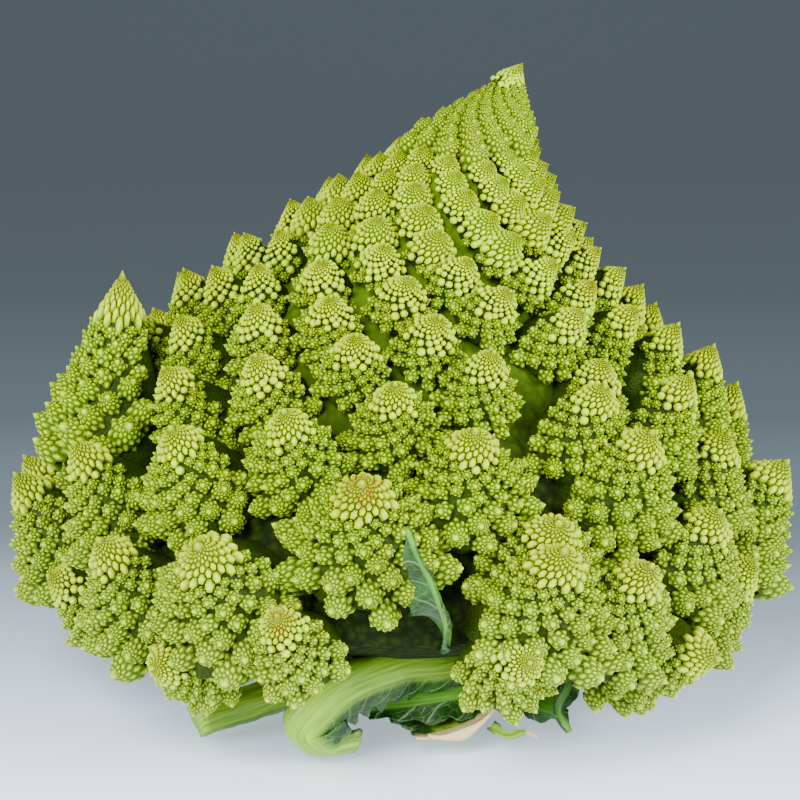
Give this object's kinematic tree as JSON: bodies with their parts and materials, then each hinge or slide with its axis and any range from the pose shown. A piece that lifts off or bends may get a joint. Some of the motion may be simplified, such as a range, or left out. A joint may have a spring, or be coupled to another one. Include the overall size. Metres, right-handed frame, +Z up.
{
  "type": "romanesco head",
  "caption": "Whole romanesco head of spiralling conical florets on a cut stalk, with curled leaf stumps round its base.",
  "frame": {"origin": "on the ground, under the middle of the whole piece", "axes": "+Z up through the head, -Y towards the front, where the curled leaf is, and +X to the side that the apex leans to"},
  "size_m": [0.197, 0.1972, 0.161],
  "materials": {
    "curd": "matt plant surface",
    "stalk": "matt cut plant flesh",
    "leaf_rib": "satin leaf rib",
    "leaf_blade": "satin leaf"
  },
  "bodies": {
    "root": {"curd": "curd", "stalk": "stalk", "curled_leaf": "leaf_rib", "torn_leaf": "leaf_rib", "petiole_stub": "leaf_rib", "inner_leaf": "leaf_blade", "right_leaf": "leaf_blade", "upright_leaf": "leaf_blade", "left_leaf": "leaf_blade", "far_right_leaf": "leaf_blade", "back_leaf_left": "leaf_blade", "back_leaf_right": "leaf_blade"}
  },
  "joints": []
}
